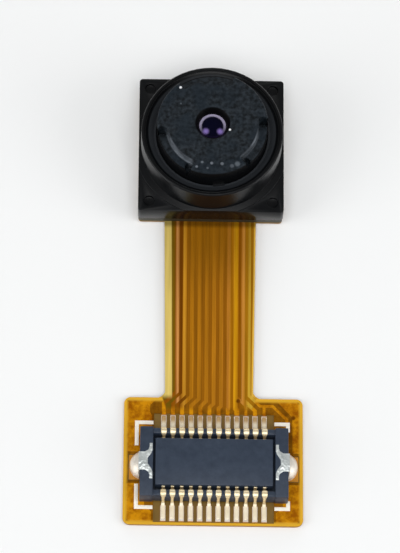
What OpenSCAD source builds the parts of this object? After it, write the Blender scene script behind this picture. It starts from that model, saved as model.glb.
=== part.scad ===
// Phone camera module: lens head on a flat flex tail that ends in a two-row board connector.
// All sizes in mm. The lens looks along +Z, the tail runs towards -Y, and the backs lie on z = 0.

/* [Sensor] */
// sensor die, along X
die_x = 4.00; // [3:0.05:5]
// sensor die, along Y
die_y = 3.50; // [2.5:0.05:4.2]
// thickness of the sensor die
die_t = 0.20; // [0.1:0.01:0.3]
// thickness of the film under the die
die_film_t = 0.02; // [0.01:0.01:0.05]
// how far the die sits towards the connector
die_shift = 0.20; // [0:0.01:0.4]
// bond wires on each side of the die
wires_per_side = 9; // [4:1:12]
// spacing of the bond wires
wire_pitch = 0.34; // [0.2:0.01:0.4]
// thickness of a bond wire
wire_t = 0.025; // [0.02:0.005:0.04]
// reach of the wires past the die's edge
wire_reach = 0.42; // [0.3:0.01:0.6]
// thickness of the bond pads
bond_pad_t = 0.012; // [0.005:0.001:0.03]
// length of a capacitor with its two ends
cap_length = 0.60; // [0.4:0.05:1]
// width and height of a capacitor
cap_section = 0.30; // [0.2:0.05:0.5]
// length of each metal end of a capacitor
cap_end = 0.14; // [0.05:0.01:0.2]
// spacing of the three capacitors
cap_pitch = 1.50; // [0.8:0.05:2]
// gap between the die and the capacitors
cap_gap = 0.50; // [0.1:0.05:0.6]

/* [Holder] */
// gap between the ends of the bond wires and the holder's wall
wire_gap = 0.33; // [0.1:0.01:0.6]
// wall of the square part around the sensor
head_wall = 0.50; // [0.3:0.05:1]
// corner radius of the head
head_corner_r = 0.15; // [0.05:0.05:0.6]
// free height over the sensor die
sensor_space = 0.34; // [0.25:0.01:0.6]
// from the ceiling over the sensor to the head's square top
roof_t = 0.32; // [0.2:0.01:0.6]
// height of the round step on the square top
plinth_t = 0.08; // [0.04:0.01:0.2]
// how much wider the step is than the turret, in radius
plinth_step = 0.29; // [0.1:0.01:0.5]
// distance from the turret's wall to the head's sides
turret_margin = 0.09; // [0.02:0.01:0.5]
// height of the turret above the step
turret_h = 1.44; // [0.6:0.02:2.4]
// wall of the turret, from its thread to its outside
turret_wall = 0.66; // [0.4:0.02:1]
// chamfer on the rim's outer edge
rim_chamfer = 0.05; // [0.02:0.01:0.2]
// width of the flat on top of the rim
rim_flat = 0.09; // [0.05:0.01:0.3]
// width of the fine groove inside that flat
rim_groove = 0.07; // [0.03:0.01:0.2]
// depth of that groove
rim_groove_depth = 0.06; // [0.02:0.01:0.2]
// width of the flat seat around the barrel at the foot of the funnel
funnel_seat = 0.10; // [0.05:0.01:0.3]
// depth of the funnel below the rim
funnel_depth = 0.34; // [0.1:0.01:0.9]
// radius of the blind dimples at the four corners
dimple_r = 0.25; // [0.1:0.01:0.4]
// distance of the dimples from the head's sides
dimple_margin = 0.49; // [0.35:0.01:0.8]
// depth of the dimples
dimple_depth = 0.16; // [0.05:0.01:0.3]

/* [Filter] */
// side of the square infrared filter
filter_side = 3.40; // [3:0.05:3.45]
// thickness of the filter
filter_t = 0.21; // [0.1:0.01:0.3]
// clearance around the filter in its pocket
filter_clearance = 0.03; // [0.01:0.01:0.1]
// depth of the pocket above the filter
filter_sink = 0.03; // [0.01:0.01:0.1]
// thickness of the filter's glue line
filter_glue_t = 0.02; // [0.01:0.01:0.05]
// shelf under the filter on its sides along X
shelf_x = 0.20; // [0.1:0.05:0.5]
// shelf under the filter on its sides along Y
shelf_y = 0.50; // [0.1:0.05:0.8]
// thickness of that shelf
shelf_t = 0.26; // [0.15:0.01:0.5]

/* [Barrel and lenses] */
// radial clearance of the barrel's thread in the holder
thread_clearance = 0.03; // [0.01:0.01:0.1]
// gap between the barrel's foot and the ledge around the filter
foot_gap = 0.16; // [0.05:0.01:0.4]
// barrel wall around the rear lens
barrel_wall = 0.60; // [0.3:0.01:0.8]
// chamfer around the barrel's face
face_chamfer = 0.06; // [0.02:0.01:0.2]
// width of the three turning notches
notch_width = 0.42; // [0.2:0.01:0.6]
// length of each notch, as an angle
notch_angle = 60; // [20:1:90]
// direction of the first notch, as an angle
notch_start = 97; // [0:1:119]
// depth of the notches
notch_depth = 0.35; // [0.1:0.01:0.8]
// radius of the barrel's opening over the front lens
opening_r = 0.60; // [0.4:0.01:0.9]
// how much wider the opening's cone is at the face, in radius
cone_spread = 0.18; // [0.05:0.01:0.5]
// depth of that cone
cone_depth = 0.30; // [0.1:0.01:0.5]
// radial clearance of the lenses in the barrel
lens_clearance = 0.02; // [0.01:0.01:0.05]
// how much wider each lens is than the one in front, in radius
lens_step = 0.30; // [0.15:0.01:0.4]
// how far the front lens bulges above its shoulder
front_bulge = 0.27; // [0.1:0.01:0.35]
// thickness of the front lens's rim
front_t = 0.20; // [0.1:0.01:0.3]
// thickness of the black aperture ring
aperture_t = 0.03; // [0.02:0.01:0.05]
// radius of the hole in the aperture ring
aperture_r = 0.52; // [0.3:0.01:0.8]
// thickness of the middle lens's rim
middle_t = 0.35; // [0.25:0.01:0.5]
// thickness of the spacer ring
spacer_t = 0.07; // [0.03:0.01:0.1]
// width of the spacer ring
spacer_width = 0.30; // [0.1:0.01:0.4]
// thickness of the rear lens's rim
rear_t = 0.45; // [0.35:0.01:0.6]
// width of the lens retainer
retainer_width = 0.43; // [0.2:0.01:0.6]
// thickness of the lens retainer
retainer_t = 0.24; // [0.1:0.01:0.3]
// how far the barrel reaches below the retainer
barrel_skirt = 0.08; // [0.02:0.01:0.2]

/* [Flex stack] */
// thickness of the stiffeners under the head and the pad
stiffener_t = 0.10; // [0.05:0.01:0.3]
// thickness of the glue films on the stiffeners
film_t = 0.02; // [0.01:0.005:0.05]
// thickness of the lower cover film
lower_cover_t = 0.025; // [0.01:0.005:0.05]
// thickness of the lower copper
lower_copper_t = 0.015; // [0.01:0.001:0.04]
// thickness of the polyimide core
core_t = 0.025; // [0.012:0.001:0.05]
// thickness of the upper copper
upper_copper_t = 0.020; // [0.01:0.001:0.04]
// thickness of the upper cover film
cover_t = 0.030; // [0.015:0.005:0.06]
// thickness of the rigid board under the holder
board_t = 0.305; // [0.2:0.005:0.6]
// how much smaller the board is than the head, per side
board_inset = 0.03; // [0:0.01:0.1]
// thickness of the glue between board and holder
holder_glue_t = 0.02; // [0.01:0.01:0.1]

/* [Flex outline] */
// free length of the tail, from the head to the pad
tail_length = 8.45; // [5:0.05:20]
// how much wider the tail is at the head than at the pad, per side
tail_flare = 0.12; // [0:0.01:0.5]
// pad beyond the housing on the left
pad_margin_left = 0.72; // [0.66:0.01:2]
// pad beyond the housing on the right
pad_margin_right = 0.67; // [0.62:0.01:2]
// pad beyond the contact tails, towards the head
pad_margin_far = 0.89; // [0.7:0.01:2]
// pad beyond the contact tails, at the free end
pad_margin_near = 0.25; // [0.2:0.01:2]
// radius of the pad's outer corners
pad_corner_r = 0.30; // [0.05:0.01:1]
// radius of the inner corners between tail and pad
neck_fillet_r = 0.45; // [0.1:0.01:1]
// connector's offset from the tail's centre line
connector_x = 0.22; // [-1:0.01:1]

/* [Copper] */
// margin of the copper inside the outline
copper_margin = 0.13; // [0.05:0.01:0.3]
// margin of the lower copper inside the tail's sides
lower_margin = 0.34; // [0.1:0.01:0.5]
// first line's distance from the tail's left side
line_margin_left = 0.50; // [0.2:0.01:0.8]
// outer line's distance from the tail's right side
line_margin_right = 0.17; // [0.1:0.01:0.5]
// spacing of the lines
line_pitch = 0.325; // [0.25:0.005:0.5]
// distance of the outer line from its neighbour
outer_pitch = 0.265; // [0.2:0.005:0.5]
// width of the signal lines
line_w = 0.17; // [0.05:0.01:0.22]
// width of the supply line
supply_w = 0.22; // [0.1:0.01:0.3]
// width of the line that runs round to the right clip
outer_w = 0.13; // [0.05:0.01:0.2]
// how far the lines reach under the head
line_overlap = 0.85; // [0.3:0.05:1.5]
// straight lead of the first line before its land
lead_first = 0.53; // [0.3:0.01:0.6]
// how much shorter each next lead is
lead_step = 0.035; // [0:0.001:0.04]
// width of a contact land
land_w = 0.24; // [0.15:0.01:0.28]
// height of the lands above the copper
land_plating = 0.01; // [0.005:0.001:0.015]
// edge of a land around its solder
land_edge = 0.02; // [0.01:0.01:0.08]
// how far a clip's land reaches under the housing
clip_land_in = 0.33; // [0.2:0.01:0.5]
// clearance of the cover film around the lands
window_clearance = 0.04; // [0.02:0.01:0.08]

/* [Connector] */
// contacts in each row
contacts_per_row = 12; // [5:1:20]
// spacing of the contacts
contact_pitch = 0.40; // [0.3:0.05:0.8]
// from the last contact to the end block
row_end_gap = 0.46; // [0.3:0.01:0.8]
// length of the end blocks
block_length = 0.57; // [0.5:0.01:1]
// gap between the island and the end blocks
island_end_gap = 0.10; // [0.05:0.01:0.3]
// half depth of the central island
island_half_y = 1.08; // [0.9:0.01:1.4]
// width of the groove between island and long wall
groove_w = 0.22; // [0.18:0.01:0.4]
// thickness of the long walls
wall_t = 0.26; // [0.15:0.01:0.4]
// how far the end blocks stand out past the long walls
block_step = 0.04; // [0.01:0.01:0.15]
// gap between the cover film and the housing
standoff = 0.02; // [0.014:0.002:0.05]
// height of the housing
housing_h = 0.85; // [0.5:0.01:1.5]
// thickness of the housing's floor
housing_floor_t = 0.20; // [0.1:0.01:0.4]
// how far the island is below the end blocks
island_drop = 0.04; // [0:0.01:0.3]
// how far the long walls are below the end blocks
wall_drop = 0.08; // [0.02:0.01:0.3]
// chamfer on the long walls' top edges
wall_chamfer = 0.05; // [0.02:0.01:0.08]
// thickness of the contact strip
contact_t = 0.06; // [0.03:0.01:0.1]
// width of a contact's leg
contact_leg_w = 0.14; // [0.08:0.01:0.3]
// width of a contact's tail and knuckle
contact_wide_w = 0.22; // [0.1:0.01:0.3]
// length of the contact tails outside the long walls
tail_len = 0.82; // [0.5:0.01:1.2]
// distance of the bend above a tail from the long wall
contact_heel = 0.20; // [0.12:0.01:0.3]
// thickness of the solder under the tails
solder_t = 0.04; // [0.03:0.01:0.06]
// how far the solder shows past a tail
solder_toe = 0.08; // [0.04:0.01:0.1]
// half width of a hold-down clip at its leg
clip_half_w = 0.42; // [0.2:0.01:0.8]
// half spread of the two arms on each clip
clip_spread = 0.82; // [0.5:0.01:1.3]
// width of each arm
clip_arm = 0.14; // [0.08:0.01:0.25]
// length of a clip's foot
clip_foot = 0.22; // [0.1:0.01:0.5]
// radius of the solder around a clip's foot
clip_solder_r = 0.55; // [0.3:0.01:0.9]
// height of that solder
clip_solder_h = 0.48; // [0.2:0.01:0.6]
// how far the middle of that solder lies inside the housing's end
clip_solder_in = 0.10; // [0:0.01:0.3]

/* [Corner marks] */
// gap between the housing and the marks on the left
mark_gap_left = 0.23; // [0.18:0.01:0.5]
// gap between the housing and the marks' outer edge on the right
mark_gap_right = 0.10; // [0.05:0.01:0.5]
// gap between the housing and the marks' outer edge towards the head
mark_gap_far = 0.57; // [0.3:0.01:0.65]
// gap between the housing and the marks' outer edge at the free end
mark_gap_near = 0.33; // [0.2:0.01:0.5]
// width of the printed line
mark_w = 0.17; // [0.08:0.01:0.3]
// thickness of the ink
mark_t = 0.012; // [0.005:0.001:0.018]
// length of the left marks along Y
mark_left_leg = 1.16; // [0.3:0.01:1.2]
// length of the right marks along Y
mark_right_leg = 0.45; // [0.3:0.01:1.2]

/* [Hidden] */
$fn = 64;
eps = 0.01;

// levels, from the floor up
z_film = stiffener_t;
z_lower_cover = z_film + film_t;
z_lower_copper = z_lower_cover + lower_cover_t;
z_core = z_lower_copper + lower_copper_t;
z_copper = z_core + core_t;
z_cover = z_copper + upper_copper_t;
z_flex = z_cover + cover_t;
z_board = z_flex + board_t;
z_holder = z_board + holder_glue_t;
z_die = z_board + die_film_t;
z_die_top = z_die + die_t;
z_ceiling = z_die_top + sensor_space;
z_base = z_ceiling + roof_t;
z_plinth = z_base + plinth_t;
z_rim = z_plinth + turret_h;
z_funnel = z_rim - funnel_depth;
z_shelf = z_ceiling + shelf_t;
z_ledge = z_shelf + filter_glue_t + filter_t + filter_sink;
z_foot = z_ledge + foot_gap;
z_retainer = z_foot + barrel_skirt;
z_rear = z_retainer + retainer_t;
z_spacer = z_rear + rear_t;
z_middle = z_spacer + spacer_t;
z_aperture = z_middle + middle_t;
z_front = z_aperture + aperture_t;
z_shoulder = z_front + front_t;
z_opening = z_shoulder + front_bulge + 0.03;
z_face = z_opening + cone_depth;

// plan sizes of the head, from the sensor outwards and back in to the lenses
cavity_side = die_x + 2 * (wire_reach + wire_gap);
head_side = cavity_side + 2 * head_wall;
board_side = head_side - 2 * board_inset;
turret_r = head_side / 2 - turret_margin;
bore_r = turret_r - turret_wall;
barrel_r = bore_r - thread_clearance;
rear_lens_r = barrel_r - barrel_wall - lens_clearance;
middle_lens_r = rear_lens_r - lens_step;
front_lens_r = middle_lens_r - lens_step;
pocket_side = filter_side + 2 * filter_clearance;
dimple_xy = head_side / 2 - dimple_margin;

// plan sizes of the connector, from its contacts outwards
row_half_x = (contacts_per_row - 1) / 2 * contact_pitch;
block_inner_x = row_half_x + row_end_gap;
housing_half_x = block_inner_x + block_length;
island_half_x = block_inner_x - island_end_gap;
wall_inner_y = island_half_y + groove_w;
wall_outer_y = wall_inner_y + wall_t;
housing_half_y = wall_outer_y + block_step;
tail_reach = wall_outer_y + tail_len;
toe_reach = tail_reach + solder_toe;
z_land = z_cover + land_plating;
z_tail = z_land + solder_t;
z_housing = z_flex + standoff;
z_block = z_housing + housing_h;
z_island = z_block - island_drop;
z_wall = z_block - wall_drop;
z_groove = z_housing + housing_floor_t;

// places along the tail
pad_far_y = -head_side / 2 - tail_length;
connector_y = pad_far_y - pad_margin_far - tail_reach;
pad_near_y = connector_y - tail_reach - pad_margin_near;
pad_left_x = connector_x - housing_half_x - pad_margin_left;
pad_right_x = connector_x + housing_half_x + pad_margin_right;
neck_start_y = -board_side / 2 + 0.2;
line_start_y = -head_side / 2 + line_overlap;
land_inner_y = wall_outer_y + contact_heel - 2 * land_edge;
land_outer_y = toe_reach + land_edge;
land_half_y = clip_solder_r + land_edge;
land_x0 = housing_half_x - clip_land_in;
land_x1 = housing_half_x - clip_solder_in + clip_solder_r + land_edge;
window_half_x = block_inner_x - 0.03;
lines_w = (contacts_per_row - 3) * line_pitch + outer_pitch;
neck_half_pad = (line_margin_left + lines_w + line_margin_right) / 2;
neck_half_head = neck_half_pad + tail_flare;

// outline of a strip of a given width along a list of points, with mitred bends
function unit(v) = v / norm(v);
function side_of(v) = [-v[1], v[0]];
function seg_side(p, i) = side_of(unit(p[i + 1] - p[i]));
function bend(p, i) =
    i == 0 ? seg_side(p, 0) :
    i == len(p) - 1 ? seg_side(p, i - 1) :
    let (a = seg_side(p, i - 1), b = seg_side(p, i), n = unit(a + b)) n / (n * a);
function strip(p, w) = concat(
    [for (i = [0 : len(p) - 1]) p[i] + bend(p, i) * w / 2],
    [for (i = [len(p) - 1 : -1 : 0]) p[i] - bend(p, i) * w / 2]);
// profile of a dome or bowl, h high at the axis and level at radius r
function bowl(r, z, h, n = 10) = [for (i = [0 : n]) [r * i / n, z + h * (1 - pow(i / n, 2))]];
function dome(r) = front_bulge * (1 - pow(r / front_lens_r, 2));
function flip(p) = [for (i = [len(p) - 1 : -1 : 0]) p[i]];

module rounded_rect(x0, y0, x1, y1, r) {
    translate([x0 + r, y0]) square([x1 - x0 - 2 * r, y1 - y0]);
    translate([x0, y0 + r]) square([x1 - x0, y1 - y0 - 2 * r]);
    for (x = [x0 + r, x1 - r], y = [y0 + r, y1 - r]) translate([x, y]) circle(r);
}

module rounded_square(side, r) rounded_rect(-side / 2, -side / 2, side / 2, side / 2, r);

module slab(z0, z1) translate([0, 0, z0]) linear_extrude(z1 - z0) children();

module ring(r0, r1, z0, z1) {
    slab(z0, z1) difference() {
        circle(r1);
        circle(r0);
    }
}

module ring_part(r0, r1, a0, a1, z0, z1) {
    mid = (a0 + a1) / 2;
    far = 2 * r1;
    slab(z0, z1) difference() {
        intersection() {
            circle(r1);
            polygon([[0, 0], [far * cos(a0), far * sin(a0)], [far * cos(mid), far * sin(mid)],
                [far * cos(a1), far * sin(a1)]]);
        }
        circle(r0);
    }
}

module on_connector() translate([connector_x, connector_y, 0]) children();

// ---- outlines of the flex ----

module tail_outline(inset) {
    polygon([[-neck_half_head + inset, neck_start_y], [-neck_half_pad + inset, pad_far_y - 0.4],
        [neck_half_pad - inset, pad_far_y - 0.4], [neck_half_head - inset, neck_start_y]]);
}

module pad_outline(inset) {
    rounded_rect(pad_left_x + inset, pad_near_y + inset, pad_right_x - inset, pad_far_y - inset,
        pad_corner_r);
}

module neck_fillets() {
    for (s = [0, 1]) mirror([s, 0]) translate([neck_half_pad - 0.02, pad_far_y - 0.02]) difference() {
        square(neck_fillet_r);
        translate([neck_fillet_r, neck_fillet_r]) circle(neck_fillet_r);
    }
}

module flex_outline() {
    rounded_square(board_side, head_corner_r);
    tail_outline(0);
    pad_outline(0);
    neck_fillets();
}

module cover_windows() {
    // one window over each row of contacts, and one over each clip's land
    translate([connector_x, connector_y]) for (s = [0, 1]) {
        mirror([0, s]) translate([-window_half_x, wall_outer_y - 0.36])
            square([2 * window_half_x, land_outer_y + window_clearance - wall_outer_y + 0.36]);
        mirror([s, 0]) translate([land_x0 - window_clearance, -land_half_y - window_clearance])
            square([land_x1 - land_x0 + 2 * window_clearance, 2 * (land_half_y + window_clearance)]);
    }
}

// ---- flex tail ----

module stiffener_plate() {
    color("silver") slab(0, z_film) rounded_square(board_side - 0.1, head_corner_r);
}

module plate_film() {
    color("gainsboro") slab(z_film, z_lower_cover) rounded_square(board_side - 0.2, head_corner_r);
}

module lower_cover() {
    color("darkgoldenrod") slab(z_lower_cover, z_lower_copper) flex_outline();
}

module lower_copper() {
    color("peru") slab(z_lower_copper, z_core) {
        rounded_square(board_side - 2 * copper_margin, head_corner_r);
        tail_outline(lower_margin);
        pad_outline(copper_margin);
    }
}

module flex_core() {
    color("goldenrod") slab(z_core, z_copper) flex_outline();
}

line_end_y = connector_y + land_outer_y;
function contact_x(k) = connector_x - row_half_x + k * contact_pitch;
function line_x(k) = -neck_half_pad + line_margin_left + k * line_pitch;
// line from under the head, bent at 45 degrees onto the land of contact k
function line_points(x, k, lead) = let (x1 = contact_x(k), y1 = line_end_y + lead) [
    [x, line_start_y], [x, y1 + abs(x1 - x) + 0.001], [x1 - 0.0005, y1], [x1, line_end_y]];

module lines() {
    n = contacts_per_row;
    for (k = [0 : n - 5]) polygon(strip(line_points(line_x(k), k, lead_first - k * lead_step), line_w));
    // supply line with its branch to the next contact, and the last signal line
    polygon(strip(line_points(line_x(n - 4), n - 4, lead_first - (n - 4) * lead_step), supply_w));
    d = contact_x(n - 3) - line_x(n - 4);
    polygon(strip([[line_x(n - 4), line_end_y + 0.45 + d], [contact_x(n - 3), line_end_y + 0.45],
        [contact_x(n - 3), line_end_y]], outer_w));
    polygon(strip(line_points(line_x(n - 3), n - 2, 0.22), line_w));
    // outer line, past the last contact and round the corner mark to the right clip's land
    x = neck_half_pad - line_margin_right;
    y = line_end_y + 0.45;
    x1 = contact_x(n - 1);
    x2 = connector_x + housing_half_x - 0.03;
    polygon(strip([[x, line_start_y], [x, y + x1 - x - 0.18], [x1 - 0.18, y], [x1 + 0.38, y],
        [x2, y - x2 + x1 + 0.38], [x2, connector_y + land_half_y]], outer_w));
    polygon(strip([[x1, y], [x1, line_end_y]], outer_w));
}

module ground_areas() {
    x0 = pad_left_x + copper_margin;
    x1 = pad_right_x - copper_margin;
    y0 = pad_near_y + copper_margin;
    y1 = pad_far_y - copper_margin;
    w0 = connector_x - window_half_x - 0.09;
    w1 = connector_x + window_half_x + 0.09;
    c = 0.15;
    clip = land_half_y + 0.16;
    side_x0 = connector_x - housing_half_x + 0.21;
    side_x1 = connector_x + housing_half_x - 0.21;
    // left shoulder and left side
    polygon([[x0, y1 - c], [x0 + c, y1], [contact_x(0) - 0.38, y1], [contact_x(0) - 0.60, y1 - 0.23],
        [contact_x(0) - 0.62, line_end_y + 0.11], [w0, line_end_y - 0.05], [w0, line_end_y - 0.53],
        [side_x0, line_end_y - 0.83], [side_x0, connector_y + clip], [x0, connector_y + clip]]);
    polygon([[x0, connector_y - clip], [side_x0, connector_y - clip], [side_x0, y0 + 0.77],
        [w0, y0 + 0.47], [w0, y0], [x0 + c, y0], [x0, y0 + c]]);
    // right shoulder, outside the outer line, and right side, with the clip's land between them
    r = connector_x + housing_half_x;
    polygon([[r - 0.45, y1], [x1 - c, y1], [x1, y1 - c], [x1, connector_y + clip],
        [r + 0.21, connector_y + clip], [r + 0.21, y1 - 0.72]]);
    polygon([[x1, connector_y - clip], [x1, y0 + c], [x1 - c, y0], [w1, y0], [w1, y0 + 0.45],
        [side_x1, y0 + 0.75], [side_x1, connector_y - clip]]);
}

module upper_copper() {
    color("orange") slab(z_copper, z_cover) {
        lines();
        ground_areas();
    }
}

module contact_lands() {
    color("gold") slab(z_copper, z_land) translate([connector_x, connector_y]) for (s = [0, 1]) {
        mirror([0, s]) for (i = [0 : contacts_per_row - 1])
            translate([-row_half_x + i * contact_pitch - land_w / 2, land_inner_y])
                square([land_w, land_outer_y - land_inner_y]);
        mirror([s, 0]) translate([land_x0, -land_half_y])
            square([land_x1 - land_x0, 2 * land_half_y]);
    }
}

module upper_cover() {
    color("goldenrod") slab(z_cover, z_flex) difference() {
        flex_outline();
        cover_windows();
    }
}

module corner_mark(x, y, sx, sy, len, leg) {
    translate([sx > 0 ? x : x - len, sy > 0 ? y : y - mark_w]) square([len, mark_w]);
    translate([sx > 0 ? x : x - mark_w, sy > 0 ? y : y - leg]) square([mark_w, leg]);
}

module corner_marks() {
    x0 = connector_x - housing_half_x - mark_gap_left;
    x1 = connector_x + housing_half_x + mark_gap_right;
    y0 = connector_y - housing_half_y - mark_gap_near;
    y1 = connector_y + housing_half_y + mark_gap_far;
    // the marks stop just short of the windows over the contacts
    len0 = connector_x - window_half_x - 0.02 - x0;
    len1 = x1 - connector_x - window_half_x - 0.02;
    color("white") slab(z_flex, z_flex + mark_t) {
        corner_mark(x0, y1, 1, -1, len0, mark_left_leg);
        corner_mark(x0, y0, 1, 1, len0, mark_left_leg);
        corner_mark(x1, y1, -1, -1, len1, mark_right_leg);
        corner_mark(x1, y0, -1, 1, len1, mark_right_leg);
    }
}

module pad_film() {
    color("gainsboro") slab(z_film, z_lower_cover) pad_outline(0.06);
}

module pad_stiffener() {
    color("darkgoldenrod") slab(0, z_film) pad_outline(0.03);
}

// ---- head ----

module sensor_board() {
    color("darkolivegreen") slab(z_flex, z_board) rounded_square(board_side, head_corner_r);
}

module holder_glue() {
    color("dimgray") slab(z_board, z_holder) difference() {
        rounded_square(board_side - 0.08, head_corner_r);
        square(cavity_side + 0.1, center = true);
    }
}

module die_film() {
    color("gray") slab(z_board, z_die) translate([0, -die_shift])
        square([die_x - 0.06, die_y - 0.06], center = true);
}

module sensor_die() {
    color("slategray") slab(z_die, z_die_top) translate([0, -die_shift])
        square([die_x, die_y], center = true);
}

wire_die_x = die_x / 2 - 0.14;
wire_board_x = die_x / 2 + wire_reach;
wire_y0 = -die_shift - (wires_per_side - 1) / 2 * wire_pitch;

module bond_pads() {
    color("gold") for (s = [-1, 1], i = [0 : wires_per_side - 1])
        translate([0, wire_y0 + i * wire_pitch]) {
            slab(z_die_top, z_die_top + bond_pad_t)
                translate([s * wire_die_x, 0]) square(0.09, center = true);
            slab(z_board, z_board + bond_pad_t)
                translate([s * wire_board_x, 0]) square([0.16, 0.12], center = true);
        }
}

module bond_wires() {
    wire = [[wire_die_x, z_die_top + bond_pad_t], [wire_die_x, z_die_top + 0.13],
        [wire_die_x + 0.07, z_die_top + 0.17], [wire_die_x + 0.26, z_die_top + 0.12],
        [wire_board_x - 0.05, z_board + 0.13], [wire_board_x, z_board + 0.06],
        [wire_board_x, z_board + bond_pad_t]];
    color("gold") for (s = [-1, 1], i = [0 : wires_per_side - 1])
        translate([0, wire_y0 + i * wire_pitch + wire_t / 2, 0]) rotate([90, 0, 0])
            linear_extrude(wire_t) polygon(strip([for (p = wire) [s * p[0], p[1]]], wire_t));
}

cap_y = die_y / 2 - die_shift + cap_gap;

module capacitors() {
    color("tan") for (i = [-1 : 1])
        translate([i * cap_pitch - cap_length / 2 + cap_end, cap_y, z_board])
            cube([cap_length - 2 * cap_end, cap_section, cap_section]);
}

module capacitor_ends() {
    color("silver") for (i = [-1 : 1], s = [0, 1])
        translate([i * cap_pitch - cap_length / 2 + s * (cap_length - cap_end), cap_y, z_board])
            cube([cap_end, cap_section, cap_section]);
}

module turret() {
    // section of the turret, from its thread out and over the rim into the funnel
    r0 = turret_r;
    r1 = r0 - rim_chamfer;
    r2 = r1 - rim_flat;
    r3 = r2 - rim_groove;
    rotate_extrude() polygon([[bore_r - 0.2, z_base - 0.1], [r0, z_base - 0.1],
        [r0, z_rim - rim_chamfer], [r1, z_rim], [r2, z_rim], [r2 - 0.01, z_rim - rim_groove_depth],
        [r3 + 0.01, z_rim - rim_groove_depth], [r3, z_rim - 0.02],
        [bore_r + funnel_seat, z_funnel], [bore_r - 0.2, z_funnel]]);
}

module lens_holder() {
    color("#15181c") difference() {
        union() {
            slab(z_holder, z_base) rounded_square(head_side, head_corner_r);
            slab(z_base - 0.1, z_plinth) intersection() {
                rounded_square(head_side, head_corner_r);
                circle(turret_r + plinth_step);
            }
            turret();
        }
        translate([0, 0, z_ledge]) cylinder(r = bore_r, h = z_rim);
        slab(z_holder - eps, z_ceiling) rounded_square(cavity_side, 0.2);
        slab(z_ceiling - eps, z_shelf + eps)
            square([filter_side - 2 * shelf_x, filter_side - 2 * shelf_y], center = true);
        slab(z_shelf, z_ledge + eps) square(pocket_side, center = true);
        for (x = [-1, 1], y = [-1, 1]) translate([x * dimple_xy, y * dimple_xy, z_base - dimple_depth])
            cylinder(r = dimple_r, h = 1);
    }
}

module filter_glue() {
    color("dimgray") slab(z_shelf, z_shelf + filter_glue_t) difference() {
        square(filter_side, center = true);
        square([filter_side - 2 * shelf_x + 0.1, filter_side - 2 * shelf_y + 0.1], center = true);
    }
}

module ir_filter() {
    color("paleturquoise") slab(z_shelf + filter_glue_t, z_shelf + filter_glue_t + filter_t)
        square(filter_side, center = true);
}

module lens_barrel() {
    a = front_lens_r + lens_clearance;
    b = middle_lens_r + lens_clearance;
    c = rear_lens_r + lens_clearance;
    color("#22262b") difference() {
        // section: outside and face, down the cone, then the stepped seats of the lenses
        rotate_extrude() polygon([[barrel_r - 0.08, z_foot], [barrel_r, z_foot + 0.08],
            [barrel_r, z_face - face_chamfer], [barrel_r - face_chamfer, z_face],
            [opening_r + cone_spread, z_face], [opening_r, z_opening],
            [opening_r, z_shoulder + 0.015 + dome(opening_r)],
            [a - 0.25, z_shoulder + 0.03 + dome(a - 0.25)], [a, z_shoulder + 0.02],
            [a, z_aperture], [b, z_aperture], [b, z_spacer], [c, z_spacer], [c, z_foot]]);
        for (i = [0 : 2]) ring_part(barrel_r - notch_width, barrel_r + 0.2,
            notch_start + i * 120 - notch_angle / 2, notch_start + i * 120 + notch_angle / 2,
            z_face - notch_depth, z_face + 0.1);
    }
}

module focus_glue() {
    color("#101214") for (a = [37, 157, 277])
        ring_part(barrel_r, bore_r + funnel_seat * 0.6, a - 6, a + 6, z_funnel, z_funnel + 0.06);
}

module front_lens() {
    color("lavender") rotate_extrude() polygon(concat(
        flip(bowl(front_lens_r, z_shoulder, front_bulge)),
        bowl(front_lens_r - 0.35, z_front, 0.08), [[front_lens_r, z_front]]));
}

module aperture_ring() {
    color("black") ring(aperture_r, front_lens_r, z_aperture, z_front);
}

module middle_lens() {
    color("lavender") rotate_extrude() polygon(concat(
        [[middle_lens_r, z_aperture]], flip(bowl(middle_lens_r - 0.45, z_aperture, -0.10)),
        bowl(middle_lens_r - 0.35, z_middle, -0.06), [[middle_lens_r, z_middle]]));
}

module spacer_ring() {
    color("black") ring(middle_lens_r - spacer_width, middle_lens_r, z_spacer, z_middle);
}

module rear_lens() {
    color("lavender") rotate_extrude() polygon(concat(
        [[rear_lens_r, z_spacer]], flip(bowl(rear_lens_r - 0.45, z_spacer, -0.12)),
        bowl(rear_lens_r - 0.50, z_rear, 0.10), [[rear_lens_r, z_rear]]));
}

module lens_retainer() {
    color("#101214") ring(rear_lens_r - retainer_width, rear_lens_r + lens_clearance - 0.005,
        z_retainer, z_rear);
}

// ---- connector ----

module clip_top() {
    // fish-tail plate in the top of an end block: two arms that bend to run along the island's end
    x0 = block_inner_x + 0.02;
    x1 = housing_half_x - 0.34;
    x2 = housing_half_x - 0.22;
    x3 = housing_half_x + contact_t;
    rise = clip_spread - clip_half_w;
    half = [[x3, clip_half_w], [x2, clip_half_w], [x0 + clip_arm + 0.04, clip_half_w + 0.25 * rise],
        [x0 + clip_arm, clip_half_w + 0.55 * rise], [x0 + clip_arm, clip_spread], [x0, clip_spread],
        [x0, 0.63 * clip_spread], [x0 + 0.05, 0.44 * clip_spread], [x1, 0.12]];
    polygon(concat(half, flip([for (q = half) [q[0], -q[1]]])));
}

module wall_edge(y) {
    // chamfer along one top edge of a long wall
    translate([-block_inner_x, y, z_wall]) rotate([90, 0, 90]) linear_extrude(2 * block_inner_x)
        polygon([[-wall_chamfer, 0], [0, -wall_chamfer], [wall_chamfer, 0], [0, wall_chamfer]]);
}

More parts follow.
